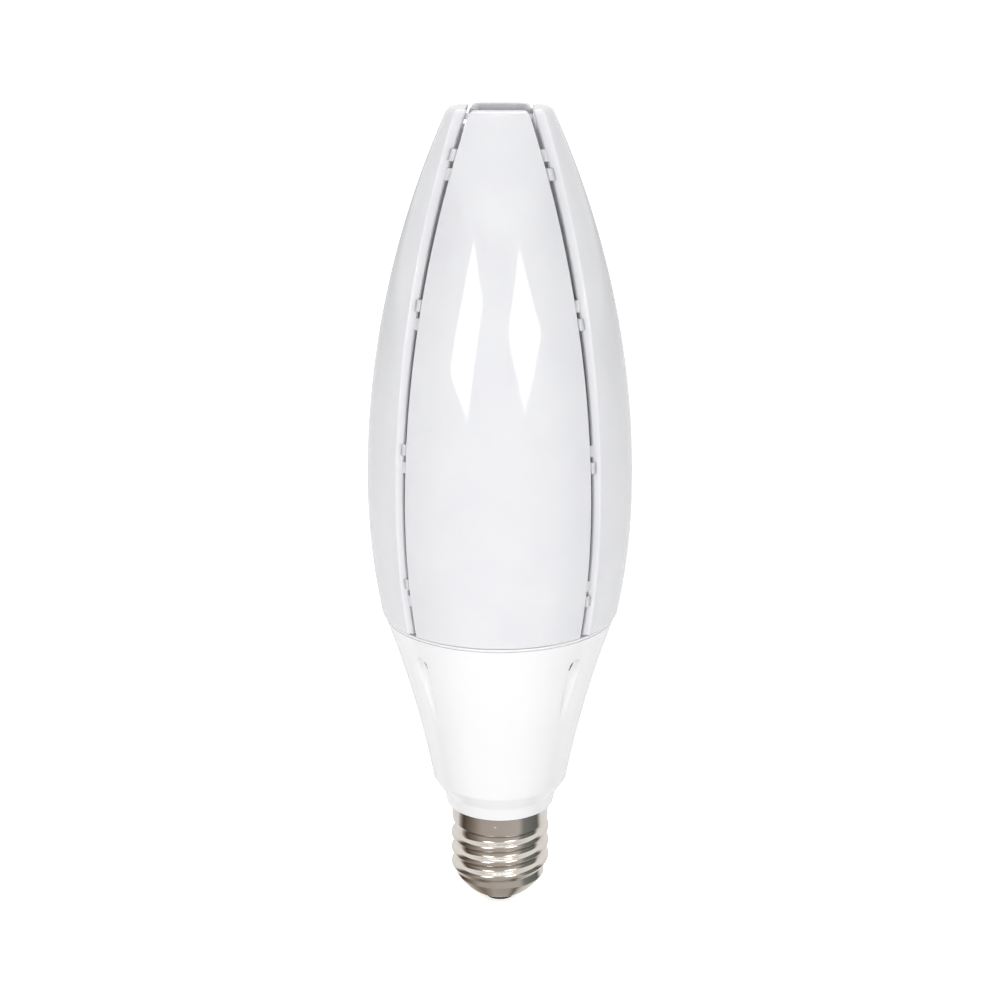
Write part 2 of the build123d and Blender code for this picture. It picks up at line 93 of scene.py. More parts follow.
def make_piece(name, sheet, material, nodes, crease=40.0):
    """Weld a sheet, turn its faces outwards, and let it stand for some solids of the frame."""
    points, faces = sheet
    mesh = bpy.data.meshes.new(name)
    mesh.from_pydata((points * METRES).tolist(), [], faces.tolist())
    work = bmesh.new()
    work.from_mesh(mesh)
    bmesh.ops.remove_doubles(work, verts=work.verts, dist=weld_distance * METRES)
    bmesh.ops.dissolve_degenerate(work, edges=work.edges, dist=sliver_length * METRES)
    bmesh.ops.recalc_face_normals(work, faces=work.faces)
    if work.calc_volume(signed=True) < 0:
        bmesh.ops.reverse_faces(work, faces=work.faces)
    volume = work.calc_volume(signed=True) / METRES**3
    open_edges = sum(not edge.is_manifold for edge in work.edges)
    work.to_mesh(mesh)
    work.free()
    mesh.shade_smooth()
    mesh.set_sharp_from_angle(angle=np.radians(crease))
    mesh.materials.append(material)
    piece = bpy.data.objects.new(name, mesh)
    bpy.context.scene.collection.objects.link(piece)
    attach(piece, "root")
    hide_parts(*nodes)
    print(f"{name}: {len(mesh.polygons)} faces, {volume:.0f} mm3, {open_edges} open edges")


# %% [markdown]
# ## Colours and nodes
# Colours are written as the hex values that a screen shows. Shaders work with linear light, so one
# function turns them. Another small function adds any node, with its settings and its links, and a
# few more stand for the runs of nodes that most finishes share.

# %% Helpers for materials


def linear(hex_colour):
    """Linear red, green, blue and alpha of an sRGB hex colour: the curve of the sRGB standard."""
    part = np.array([int(hex_colour[place:place + 2], 16) for place in (1, 3, 5)]) / 255
    light = np.where(part <= 0.04045, part / 12.92, ((part + 0.055) / 1.055) ** 2.4)
    return (*light.tolist(), 1.0)


def add(tree, kind, links=None, **settings):
    """Add a node. Settings are its own properties; links fill its inputs by a socket or a value."""
    node = tree.nodes.new(kind)
    for name, value in settings.items():
        setattr(node, name, value)
    for name, value in (links or {}).items():
        if isinstance(value, bpy.types.NodeSocket):
            tree.links.new(value, node.inputs[name])
        else:
            node.inputs[name].default_value = value
    return node


def blank_material(name):
    """A material, its emptied node tree and its object coordinates."""
    material = bpy.data.materials.new(name)
    material.use_nodes = True
    tree = material.node_tree
    tree.nodes.clear()
    place = add(tree, "ShaderNodeTexCoord").outputs["Object"]
    return material, tree, place


def noise(tree, place, size, detail=2.0, **more):
    """Noise in patches of a size in millimetres: its scale is one over the size in metres."""
    links = {"Vector": place, "Scale": 1 / (size * METRES), "Detail": detail, **more}
    return add(tree, "ShaderNodeTexNoise", links).outputs["Fac"]


def two_tones(tree, factor, first, second):
    """Colour that a factor mixes from two hex tones."""
    mix = add(tree, "ShaderNodeMix", {"Factor": factor}, data_type="RGBA")
    mix.inputs["A"].default_value = linear(first)
    mix.inputs["B"].default_value = linear(second)
    return mix.outputs["Result"]


def spread(tree, value, low, high):
    """A value from 0 to 1, spread from low to high."""
    return add(tree, "ShaderNodeMapRange", {"Value": value, "To Min": low, "To Max": high}).outputs["Result"]


def bumped(tree, height, strength, depth):
    """Surface direction of a relief whose depth is in millimetres."""
    links = {"Height": height, "Strength": strength, "Distance": depth * METRES}
    return add(tree, "ShaderNodeBump", links).outputs["Normal"]


def surface(tree, links):
    """Principled shader, led to the material's output."""
    shader = add(tree, "ShaderNodeBsdfPrincipled", links)
    add(tree, "ShaderNodeOutputMaterial", {"Surface": shader.outputs["BSDF"]})


# %% [markdown]
# ## Milky polycarbonate
# The leaves are moulded from polycarbonate filled with a white diffusing powder. Light goes a few
# millimetres in and comes back soft and faintly lavender, while the skin keeps the gloss of the
# mould. So the shader has a little subsurface light under a smooth, barely rippled surface.

# %% Leaf plastic


def milky_polycarbonate():
    """Filled polycarbonate: pale cloudy colour, high gloss, shallow moulding ripple."""
    material, tree, place = blank_material("milky_polycarbonate")
    surface(tree, {
        "Base Color": two_tones(tree, noise(tree, place, size=22, detail=3.0), "#E4E4E9", "#EDEDF0"),
        "Roughness": spread(tree, noise(tree, place, size=7), 0.045, 0.075),
        "IOR": 1.586,
        "Subsurface Weight": 0.6,
        "Subsurface Radius": (1.0, 0.96, 0.98),
        "Subsurface Scale": 3.0 * METRES,
        "Normal": bumped(tree, noise(tree, place, size=9, detail=1.0), strength=0.04, depth=0.2),
    })
    return material


leaf_plastic = milky_polycarbonate()
print("made", leaf_plastic.name)

# %% [markdown]
# ## The shape of a leaf
# All leaves lie on one olive: two arcs that stand upright where they meet at the belly. A leaf is
# the quarter of the olive between two slots, with bevelled long edges and side walls that run in to
# its LED board. It could be cut out of a turned solid, but a formula across and up the leaf gives
# an even grid, and an even grid gives clean reflections.

# %% Sizes of the leaves
leaf_low, leaf_high = box_mm("diffuser_right")
rim_height = box_mm("driver_housing")[1][2]
leaf_top, belly_radius = leaf_high[2], leaf_high[0]
leaf_gap, belly_rise, foot_taper, board_insets = 0.5, 49.9, 4.8, (0.53, 0.96)
leaf_foot, belly_height = rim_height + leaf_gap, rim_height + belly_rise
foot_radius, top_radius = belly_radius - foot_taper, 18.9
leaf_wall, leaf_roof = 1.6, 3.0
foot_rounds, top_rounds, edge_round = (0.4, 0.2), (1.5, 0.3), 0.25
slot_half_widths, mouth_half_widths = (0.85, 0.95, 1.4), (2.45, 2.77, 3.87)
board_reaches = np.array([belly_radius, top_radius]) / np.sqrt(2) - board_insets
print(f"leaves from {leaf_foot:.1f} to {leaf_top:.1f} mm, belly radius {belly_radius:.1f} mm")


def arc_through(z, upright_z, upright, end_z, end):
    """Radius of an arc that stands upright at one height and reaches a radius at another."""
    drop = upright - end
    bend = ((end_z - upright_z) ** 2 + drop**2) / (2 * drop)
    return upright - bend + np.sqrt(bend**2 - (z - upright_z) ** 2)


def olive_radius(z):
    """Radius of the leaves' surface: one arc below the belly and one above."""
    below = arc_through(np.minimum(z, belly_height), belly_height, belly_radius, leaf_foot, foot_radius)
    above = arc_through(np.maximum(z, belly_height), belly_height, belly_radius, leaf_top, top_radius)
    return np.where(z < belly_height, below, above)


def board_reach(z):
    """Distance of a board's outer face from the axis: one long arc, upright at the belly."""
    return arc_through(z, belly_height, board_reaches[0], leaf_top, board_reaches[1])


def parabola(z, foot, middle, top):
    """A width that changes with height as a parabola through its foot, middle and top."""
    share = (z - leaf_foot) / (leaf_top - leaf_foot)
    return foot + (top - foot) * share + (4 * middle - 2 * foot - 2 * top) * share * (1 - share)


def slot_half(z):
    """Half the slot's width, between the side walls of two leaves."""
    return parabola(z, *slot_half_widths)


def bevel_line(z):
    """Distance out less distance in, which is the same all over the bevel that opens the slot."""
    mouth = parabola(z, *mouth_half_widths)
    return np.sqrt(olive_radius(z) ** 2 - mouth**2) - mouth


# %% [markdown]
# ## Across the leaf
# Seen from above, half a leaf is three runs: the skin's arc, a bevel that opens the slot into a V, and
# the straight wall along the slot. Positions at the slot are easiest as a distance out along the
# slot and a distance into the leaf, which a turn of 45 degrees maps to x and y. Small blends round
# both corners, because they catch the thin bright lines along the slots.

# %% Section of a leaf
shallowest_wall = 0.8
skin_steps = np.linspace(0, 1, 33)
blend_steps = np.linspace(0, 1, 6)[1:, None]
wall_steps = np.linspace(0, 1, 7)[1:]


def blend(before, corner, after):
    """Quadratic curve round a corner, given the directions of travel before and after it."""
    start, end = corner - before * edge_round, corner + after * edge_round
    left = 1 - blend_steps
    return start * left**2 + 2 * corner * blend_steps * left + end * blend_steps**2


def leaf_section(radius, gap, bevel, reach):
    """Path across a leaf at each height, from one board edge over the skin to the other.

    On the bevel the distance out less the distance in is one value, so it meets the skin's circle
    at the root of a quadratic and the side wall at the wall's distance in. The arrays are columns.
    """
    top_in = (np.sqrt(2 * radius**2 - bevel**2) - bevel) / 2
    top, low = np.stack([top_in + bevel, top_in], axis=-1), np.stack([gap + bevel, gap], axis=-1)
    along_skin = np.stack([top_in, -top_in - bevel], axis=-1) / radius[..., None]
    along_bevel, along_wall = np.array([-1.0, -1.0]) / np.sqrt(2), np.array([-1.0, 0.0])
    angle = (np.pi / 4 - np.arctan2(top_in, top_in + bevel) - edge_round / radius) * skin_steps
    skin_x, skin_y = radius * np.cos(angle), radius * np.sin(angle)
    edges = np.concatenate([blend(along_skin, top, along_bevel), blend(along_bevel, low, along_wall)], axis=1)
    wall_start = gap + bevel - edge_round
    wall_end = np.minimum(np.sqrt(2) * reach - gap, wall_start - shallowest_wall)
    wall_out = wall_start + (wall_end - wall_start) * wall_steps
    out = np.concatenate([edges[..., 0], wall_out], axis=1)
    into = np.concatenate([edges[..., 1], gap + 0 * wall_out], axis=1)
    x = np.concatenate([skin_x, (out + into) / np.sqrt(2)], axis=1)
    y = np.concatenate([skin_y, (out - into) / np.sqrt(2)], axis=1)
    return np.concatenate([x[:, :0:-1], x], axis=1), np.concatenate([-y[:, :0:-1], y], axis=1)


# %% [markdown]
# ## Up the leaf
# The sheet starts on the floor of the tray, turns up round the foot, runs up the skin, turns in
# round the top and ends on the tray's upper wall. The floor and the upper wall are filled by rows
# that slide from the section towards the straight line between its two ends. A second sheet, one
# wall further in, is the inside of the tray, and a strip joins the two along the board.

# %% A tray with walls
skin_rows = 121
round_steps = np.linspace(0, np.pi / 2, 7)
fill_steps = np.linspace(0, 1, 5)[1:, None, None]


def leaf_sheet(inset, roof, foot_round, top_round):
    """Points of one side of the tray, set in by a wall, as rows from floor to upper wall."""
    low, high = leaf_foot + inset, leaf_top - roof
    skin_z = np.linspace(low + foot_round, high - top_round, skin_rows)[1:-1]
    foot_z = low + foot_round * (1 - np.cos(round_steps))
    top_z = high - top_round * (1 - np.sin(round_steps))
    z = np.concatenate([foot_z, skin_z, top_z])[:, None]
    foot_in, top_in = foot_round * (1 - np.sin(round_steps)), top_round * (1 - np.cos(round_steps))
    shift = np.concatenate([foot_in, 0 * skin_z, top_in])[:, None]
    set_in = inset + shift
    bevel = bevel_line(z) - np.sqrt(2) * set_in
    x, y = leaf_section(olive_radius(z) - set_in, slot_half(z) + set_in, bevel, board_reach(z))
    rows = np.stack([x, y, z + 0 * x], axis=-1)
    share = np.linspace(0, 1, x.shape[1])[:, None]
    ends = [rows[place, :1] + (rows[place, -1:] - rows[place, :1]) * share for place in (0, -1)]
    floor = rows[0] + (ends[0] - rows[0]) * fill_steps
    upper_wall = rows[-1] + (ends[1] - rows[-1]) * fill_steps
    return np.concatenate([floor[::-1], rows, upper_wall])


def leaf_tray():
    """Outer and inner sheet of a tray, joined by a strip round its open side."""
    outer = leaf_sheet(0, 0, foot_rounds[0], top_rounds[0])
    inner = leaf_sheet(leaf_wall, leaf_roof, foot_rounds[1], top_rounds[1])
    rows, columns = outer.shape[:2]
    count = rows * columns
    number = np.arange(count).reshape(rows, columns)
    rim = np.concatenate([number[0], number[1:, -1], number[-1, -2::-1], number[-2:0:-1, 0]])
    after = np.roll(rim, -1)
    strip = np.stack([rim, after, after + count, rim + count], axis=-1)
    faces = grid_faces(rows, columns)
    points = np.concatenate([outer.reshape(-1, 3), inner.reshape(-1, 3)])
    return points, np.concatenate([faces, faces[:, ::-1] + count, strip])


tray = leaf_tray()
print("tray:", len(tray[0]), "points")

# %% [markdown]
# ## Snap tabs and the foot tongue
# Small tabs bridge the slots, four on each long edge, one edge's set higher than the other's, and a
# low bridge closes each slot near the top. A rounded block is a ball cut in eight and pulled apart:
# each point of the ball moves out by the block's half size, with the sign of its own direction. The
# tongue that stands in the housing's mouth is a rounded section carried round an arc.

# %% Tabs and tongue
tab_first, tab_last_drop, tab_stagger, tab_count = 14.7, 21.9, 6.5, 4
tab_height, tab_depth, tab_rise, tab_root, tab_gap = 4.2, 1.8, 0.5, 1.3, 0.4
bridge_drop, bridge_height, bridge_rise = 2.4, 2.0, -1.6
tongue_radius, tongue_wall, tongue_half_angle = 41.3, 1.8, 30
ball_rows, ball_columns, tongue_rows = 8, 16, 41


def rounded_block():
    """Directions of a ball on a grid, with both poles, and the ball's faces."""
    tilt = (np.arange(ball_rows) + 0.5) / ball_rows * np.pi - np.pi / 2
    turn = ((np.arange(ball_columns) + 0.5) / ball_columns * 2 * np.pi)[None, :]
    flat = np.cos(tilt)[:, None]
    ball = np.stack([flat * np.cos(turn), flat * np.sin(turn), np.sin(tilt)[:, None] + 0 * turn], axis=-1)
    pole = np.zeros((1, ball_columns, 3)) + [0, 0, 1]
    return np.concatenate([-pole, ball, pole]), grid_faces(ball_rows + 2, ball_columns, around=True)


def snap_tabs(bevel=0.35):
    """All tabs of one leaf: blocks from inside the side wall to just short of the next leaf.

    Each point's distance out follows the bevel's foot at its own height, so the blocks lean with it.
    """
    ball, faces = rounded_block()
    spacing = (leaf_top - rim_height - tab_first - tab_last_drop) / (tab_count - 1)
    low_z = rim_height + tab_first + spacing * np.arange(tab_count)
    z = np.concatenate([low_z, low_z + tab_stagger, [leaf_top - bridge_drop]])
    side = np.concatenate([np.repeat([-1.0, 1.0], tab_count), [1.0]])
    height = np.where(z < z.max(), tab_height, bridge_height)
    rise = np.where(z < z.max(), tab_rise, bridge_rise)[:, None, None]
    gap = slot_half(z)
    width = 2 * gap - tab_gap + tab_root
    into = gap + tab_root - width / 2
    half = np.stack([0 * z + tab_depth / 2, width / 2, height / 2], axis=-1)[:, None, None, :]
    flat_pole = np.where(np.abs(ball[..., :2]).max(axis=-1, keepdims=True) == 0, [0.0, 0.0, 1.0], 1.0)
    spots = flat_pole * (np.sign(ball) * (half - bevel) + ball * bevel)
    spot_z = z[:, None, None] + spots[..., 2]
    face_out = bevel_line(spot_z) + slot_half(spot_z) + rise
    along, across = face_out - tab_depth / 2 + spots[..., 0], into[:, None, None] + spots[..., 1]
    x, y = (along + across) / np.sqrt(2), (along - across) / np.sqrt(2) * side[:, None, None]
    points = np.stack([x, y, spot_z], axis=-1)
    count = ball.shape[0] * ball.shape[1]
    all_faces = faces[None] + count * np.arange(len(z))[:, None, None]
    return points.reshape(-1, 3), all_faces.reshape(-1, 4)


def foot_tongue(bevel=0.3):
    """Rounded upright section carried round the mouth of the housing, closed at both ends."""
    low, high, end = leaf_low[2], leaf_foot + leaf_wall / 2, np.radians(tongue_half_angle)
    turn = (np.arange(ball_columns) + 0.5) / ball_columns * 2 * np.pi
    half = np.array([tongue_wall / 2, (high - low) / 2]) - bevel
    direction = np.stack([np.cos(turn), np.sin(turn)], axis=-1)
    centre = np.array([tongue_radius - tongue_wall / 2, (high + low) / 2])
    section = np.sign(direction) * half + direction * bevel + centre
    middle = np.zeros((1, ball_columns, 2)) + centre
    rows = np.concatenate([middle, np.repeat(section[None], tongue_rows, axis=0), middle])
    angle = np.concatenate([[-end], np.linspace(-end, end, tongue_rows), [end]])[:, None]
    points = np.stack([rows[..., 0] * np.cos(angle), rows[..., 0] * np.sin(angle), rows[..., 1]], axis=-1)
    return points.reshape(-1, 3), grid_faces(tongue_rows + 2, ball_columns, around=True)


leaf = joined(tray, snap_tabs(), foot_tongue())
print("leaf with tabs and tongue:", len(leaf[0]), "points")

# %% [markdown]
# ## Four leaves
# The leaf was worked out facing +X. Each of the four is the same grid, turned about the lamp's
# axis, with its place in its mesh.

# %% Place the leaves
for quarter, name in enumerate(("right", "back", "left", "front")):
    turn = np.round([np.cos(quarter * np.pi / 2), np.sin(quarter * np.pi / 2)])
    about = np.array([[turn[0], turn[1], 0], [-turn[1], turn[0], 0], [0, 0, 1]])
    sheet = (leaf[0] @ about, leaf[1])
    make_piece(f"leaf_{name}", sheet, leaf_plastic, [f"diffuser_{name}"])

# %% [markdown]
# ## Glossy white housing
# The housing is one moulding in glossy white plastic: opaque, cool white, with the faint unevenness
# that a thick moulding has. Its colour stays below pure white, so that it can still show shading.

# %% Housing plastic


def white_moulding():
    """Glossy white ABS: even colour with slight flow marks and a shallow ripple."""
    material, tree, place = blank_material("glossy_white_abs")
    surface(tree, {
        "Base Color": two_tones(tree, noise(tree, place, size=30, detail=3.0), "#F1F1F2", "#F6F6F7"),
        "Roughness": spread(tree, noise(tree, place, size=6), 0.1, 0.17),
        "IOR": 1.53,
        "Subsurface Weight": 0.1,
        "Subsurface Radius": (1.0, 0.98, 0.96),
        "Subsurface Scale": 0.8 * METRES,
        "Normal": bumped(tree, noise(tree, place, size=8, detail=1.0), strength=0.04, depth=0.2),
    })
    return material


housing_plastic = white_moulding()
print("made", housing_plastic.name)

# %% [markdown]
# ## The housing's profile
# The outline goes once round the wall: up the outside from the neck to the rim, over the rim, and
# down the inside to the spigot that sits in the cap. Short arcs round the rim, the shoulder and the
# neck, because a real moulding has no knife edges and a small radius catches a line of light.

# %% Sizes of the housing
housing_low, housing_high = box_mm("driver_housing")
rim_radius = housing_high[0]
neck_bottom, neck_top, shoulder_height = 42.84, 48.24, 54.34
neck_bottom_radius, neck_top_radius, shoulder_radius = 21.2, 22.4, 26.6
housing_wall, rim_wall, carrier_seat, carrier_height = 2.2, 3.6, 1.6, rim_height - 8.1
rim_bore = rim_radius - rim_wall
spigot_bore, spigot_wall, neck_floor = 14.95, 2.0, 2.0
cap_groove_radii, cap_groove_depth = (18.4, 19.6), 1.6
line_drop, line_depth, line_height = 0.8, 1.0, 0.5
neck_round, shoulder_round, rim_rounds = 0.5, 0.8, (0.35, 0.3)
flare_sag = 1.5
outer_ends = ((shoulder_radius, shoulder_height), (rim_radius, rim_height))
inner_ends = ((shoulder_radius - housing_wall, shoulder_height), (rim_bore - carrier_seat, carrier_height))


def flare_radius(ends, z):
    """Radius of the arc between two points that sags towards the axis by a set depth."""
    (low_radius, low_z), (high_radius, high_z) = ends
    wide, tall = high_radius - low_radius, high_z - low_z
    chord = np.hypot(wide, tall)
    bend = (chord**2 / 4 + flare_sag**2) / (2 * flare_sag)
    middle_radius = (high_radius + low_radius) / 2 + (bend - flare_sag) * tall / chord
    middle_z = (high_z + low_z) / 2 - (bend - flare_sag) * wide / chord
    return middle_radius - np.sqrt(bend**2 - (z - middle_z) ** 2)


# %% [markdown]
# ## Air scoops
# Below each slot a round-nosed cutter has run up the cone and sunk through the wall. In terms of
# height and angle, the cut is the near side of the cutter: the smaller root of a quadratic, once
# for its straight run and once for its ball nose. A soft minimum of skin and cut rounds the edge.

# %% Shape of the scoops
cutter_radius, scoop_depth = 2.7, 3.0
scoop_high, scoop_low = rim_height - 12.6, rim_height - 37.6
edge_softness, far_away = 0.25, 1e3


def nearest_root(square, half_linear, rest):
    """Smaller root of square r2 + 2 half_linear r + rest, or a far value where there is none."""
    inside = half_linear**2 - square * rest
    return np.where(inside > 0, (-half_linear - np.sqrt(np.maximum(inside, 0))) / square, far_away)


def scoop_radius(z, angle):
    """Radius at which a scoop's cutter begins, for heights and angles from the scoop's middle."""
    high = np.array([flare_radius(outer_ends, scoop_high) - scoop_depth + cutter_radius, 0, scoop_high])
    low = np.array([flare_radius(outer_ends, scoop_low) + cutter_radius, 0, scoop_low])
    length = np.linalg.norm(high - low)
    run = (high - low) / length
    z, angle = np.broadcast_arrays(z, angle)
    beam = np.stack([np.cos(angle), np.sin(angle), 0 * z], axis=-1)
    start = np.stack([0 * z, 0 * z, z], axis=-1) - low
    beam_off = beam - (beam @ run)[..., None] * run
    start_off = start - (start @ run)[..., None] * run
    square, half_linear = (beam_off**2).sum(-1), (beam_off * start_off).sum(-1)
    side = nearest_root(square, half_linear, (start_off**2).sum(-1) - cutter_radius**2)
    way = ((start + beam * side[..., None]) @ run) / length
    side = np.where((way >= 0) & (way <= 1), side, far_away)
    to_nose = start + low - high
    nose = nearest_root(1.0, (beam * to_nose).sum(-1), (to_nose**2).sum(-1) - cutter_radius**2)
    return np.minimum(side, nose)


# %% [markdown]
# ## One skin with holes
# The wall's two sides share their heights and angles where the scoops are. Where a scoop reaches
# the inner side, both sides are pinched together and the faces inside the pinch are left out: that
# is the air hole, with a closed edge. Angles and heights are close together there and far apart
# elsewhere, so that faces go where the detail is.

# %% Housing
scoop_rows, cone_rows, rim_rows, scoop_columns, plain_columns = 84, 22, 12, 45, 25
cone_start, margin_below, margin_above, scoop_reach = 0.9, 1.0, 0.6, 6


def rounded(start, corner, end, radius, steps=6):
    """Short curve from one leg of a corner to the other: a quadratic blend of the three points."""
    start, corner, end = np.array(start), np.array(corner), np.array(end)
    leave = corner + (start - corner) / np.linalg.norm(start - corner) * radius
    arrive = corner + (end - corner) / np.linalg.norm(end - corner) * radius
    share = np.linspace(0, 1, steps)[:, None]
    return leave * (1 - share) ** 2 + 2 * corner * share * (1 - share) + arrive * share**2


def housing_rows():
    """Profile as radius and height: outside up, over the rim, inside down; and the scoops' rows."""
    line_z = rim_height - line_drop
    scoop_end = scoop_high + cutter_radius + margin_above
    scoop_z = np.linspace(scoop_low - margin_below, scoop_end, scoop_rows)
    low_z = np.linspace(shoulder_height + cone_start, scoop_z[0], cone_rows)[:-1]
    cone_z = np.concatenate([low_z, scoop_z, np.linspace(scoop_end, line_z - line_height, rim_rows)[1:]])
    cone = np.stack([flare_radius(outer_ends, cone_z), cone_z], axis=-1)
    line_radius = flare_radius(outer_ends, line_z)
    neck_out, neck_up = (neck_bottom_radius, neck_bottom), (neck_top_radius, neck_top)
    shoulder = (shoulder_radius, shoulder_height)
    rim_out, rim_in = (rim_radius, rim_height), (rim_bore, rim_height)
    groove_in, groove_out = cap_groove_radii
    groove_top, floor_low, spigot_low = neck_bottom + cap_groove_depth, neck_top - neck_floor, housing_low[2]
    neck_in, spigot_out = neck_top_radius - housing_wall, spigot_bore + spigot_wall
    outside = np.concatenate([
        rounded((groove_out, neck_bottom), neck_out, neck_up, neck_round),
        rounded(neck_out, neck_up, shoulder, neck_round),
        rounded(neck_up, shoulder, cone[0], shoulder_round),
        cone,
        [(line_radius - line_depth, line_z - line_height), (line_radius - line_depth, line_z)],
        [(line_radius, line_z)],
        rounded((line_radius, line_z), rim_out, rim_in, rim_rounds[0]),
        rounded(rim_out, rim_in, (rim_bore, carrier_height), rim_rounds[1]),
    ])
    back_z = np.concatenate([np.linspace(carrier_height, scoop_end, 4)[:-1], scoop_z[::-1], low_z[::-4]])
    back = np.stack([flare_radius(inner_ends, back_z), back_z], axis=-1)
    inside = np.concatenate([
        [(rim_bore, carrier_height)],
        back,
        [inner_ends[0], (neck_in, neck_top), (neck_in, floor_low), (spigot_bore, floor_low)],
        [(spigot_bore, spigot_low), (spigot_out, spigot_low), (spigot_out, neck_bottom)],
        [(groove_in, neck_bottom), (groove_in, groove_top)],
        [(groove_out, groove_top), (groove_out, neck_bottom)],
    ])
    first = np.flatnonzero(np.isclose(outside[:, 1], scoop_z[0]))[0]
    last = len(outside) + np.flatnonzero(np.isclose(inside[:, 1], scoop_z[0]))[0]
    return np.concatenate([outside, inside]), first, last


def housing_sheet():
    """Profile turned about the axis, with four scoops let into it and their holes left open."""
    profile, first, last = housing_rows()
    near = np.radians(np.linspace(-scoop_reach, scoop_reach, scoop_columns))
    far = np.radians(np.linspace(scoop_reach, 90 - scoop_reach, plain_columns)[1:-1])
    quarter = np.concatenate([near, far])
    angle = (quarter[None, :] + np.radians(45 + 90 * np.arange(4))[:, None]).ravel()
    from_scoop = np.tile(np.concatenate([near, 0 * far + np.pi / 4]), 4)
    radius = np.repeat(profile[:, :1], len(angle), axis=1)
    z = np.repeat(profile[:, 1:], len(angle), axis=1)
    outer, inner = slice(first, first + scoop_rows), slice(last, last - scoop_rows, -1)
    cut = scoop_radius(z[outer], from_scoop[None, :])
    share = np.clip(0.5 + (radius[outer] - cut) / (2 * edge_softness), 0, 1)
    soft = radius[outer] * (1 - share) + cut * share - edge_softness * share * (1 - share)
    hole = soft < radius[inner]
    radius[outer] = np.maximum(soft, radius[inner])
    hidden = np.zeros(radius.shape, dtype=bool)
    hidden[outer], hidden[inner] = hole, hole
    points = np.stack([radius * np.cos(angle), radius * np.sin(angle), z], axis=-1).reshape(-1, 3)
    faces = grid_faces(len(profile), len(angle), around=True, along=True)
    faces = faces[~hidden.ravel()[faces].all(axis=1)]
    print(f"air holes: {hole.sum()} grid points open")
    return points, faces


make_piece("flared_housing", housing_sheet(), housing_plastic, ["driver_housing"])

# %% [markdown]
# ## Bright nickel
# The cap is drawn and rolled from brass sheet and plated with bright nickel. Nickel is a warm grey
# metal. Rolling leaves fine marks round the shell, so roughness and bump come from a noise that is
# squeezed along the axis: long round the cap, short up it.

# %% Cap metal


def bright_nickel():
    """Bright nickel on drawn brass: warm grey mirror with fine marks from rolling."""
    material, tree, place = blank_material("bright_nickel")
    squeeze = add(tree, "ShaderNodeMapping", {"Vector": place, "Scale": (1.0, 1.0, 7.0)})
    marks = noise(tree, squeeze.outputs["Vector"], size=5, detail=5.0)
    surface(tree, {
        "Base Color": two_tones(tree, noise(tree, place, size=9, detail=3.0), "#CEC8BF", "#DFDAD3"),
        "Metallic": 1.0,
        "Roughness": spread(tree, marks, 0.07, 0.2),
        "Normal": bumped(tree, marks, strength=0.12, depth=0.08),
    })
    return material


cap_metal = bright_nickel()
print("made", cap_metal.name)

# %% [markdown]
# ## Screw cap
# A knuckle thread is a row of equal arcs, hollow and round by turns. Its height is a function of
# how far a point lies from the nearest crest, and the crest climbs one pitch in a turn, so the whole
# thread is one formula of angle and height. It fades out at both ends, where the rolls let go. A
# punch mark in the skirt locks the shell to the housing.

# %% Cap shell
cap_low, cap_high = box_mm("cap_shell")
crest_radius, root_radius, pitch = cap_high[0], 17.75, 6.35
front_crest = 29.475
thread_ends = ((12.2, 15.4), (32.2, 34.4))
skirt_radius, skirt_ramp = 19.25, (33.4, 35.4)
tip_radius, tip_top, tip_bulge = 6.3, 11.2, 1.2
punch_x, punch_z, punch_width, punch_depth = -1.6, 39.3, 0.55, 0.35
shell_wall = 0.5
cap_columns, tip_steps, thread_steps, inner_steps = 420, 22, 150, 28


def smooth_step(low, high, value):
    """Climb from 0 to 1 between two values, level at both."""
    share = np.clip((value - low) / (high - low), 0, 1)
    return share * share * (3 - 2 * share)


def knuckle(distance):
    """Height of the thread, 0 to 1, at a distance from the crest: two equal arcs that meet."""
    quarter, rise = pitch / 4, (crest_radius - root_radius) / 2
    bend = (quarter**2 + rise**2) / (2 * rise)
    away = np.abs(distance)
    crest = 2 * rise - bend + np.sqrt(bend**2 - np.minimum(away, quarter) ** 2)
    root = bend - np.sqrt(bend**2 - np.minimum(pitch / 2 - away, quarter) ** 2)
    return np.where(away < quarter, crest, root) / (2 * rise)


def cap_radius(z, angle):
    """Outer radius of the shell above its rounded tip."""
    climb = front_crest + pitch * (angle / (2 * np.pi) - 0.75)
    from_crest = (z - climb + pitch / 2) % pitch - pitch / 2
    crest_z = z - from_crest
    strength = smooth_step(*thread_ends[0], crest_z) * (1 - smooth_step(*thread_ends[1], crest_z))
    thread = root_radius + (crest_radius - root_radius) * knuckle(from_crest) * strength
    skirt = root_radius + (skirt_radius - root_radius) * smooth_step(*skirt_ramp, z)
    wall = np.maximum(thread, skirt)
    across = wall * np.cos(angle) - punch_x
    dent = np.exp(-(across**2 + (z - punch_z) ** 2) / punch_width**2) * (np.sin(angle) < 0)
    return wall - punch_depth * dent


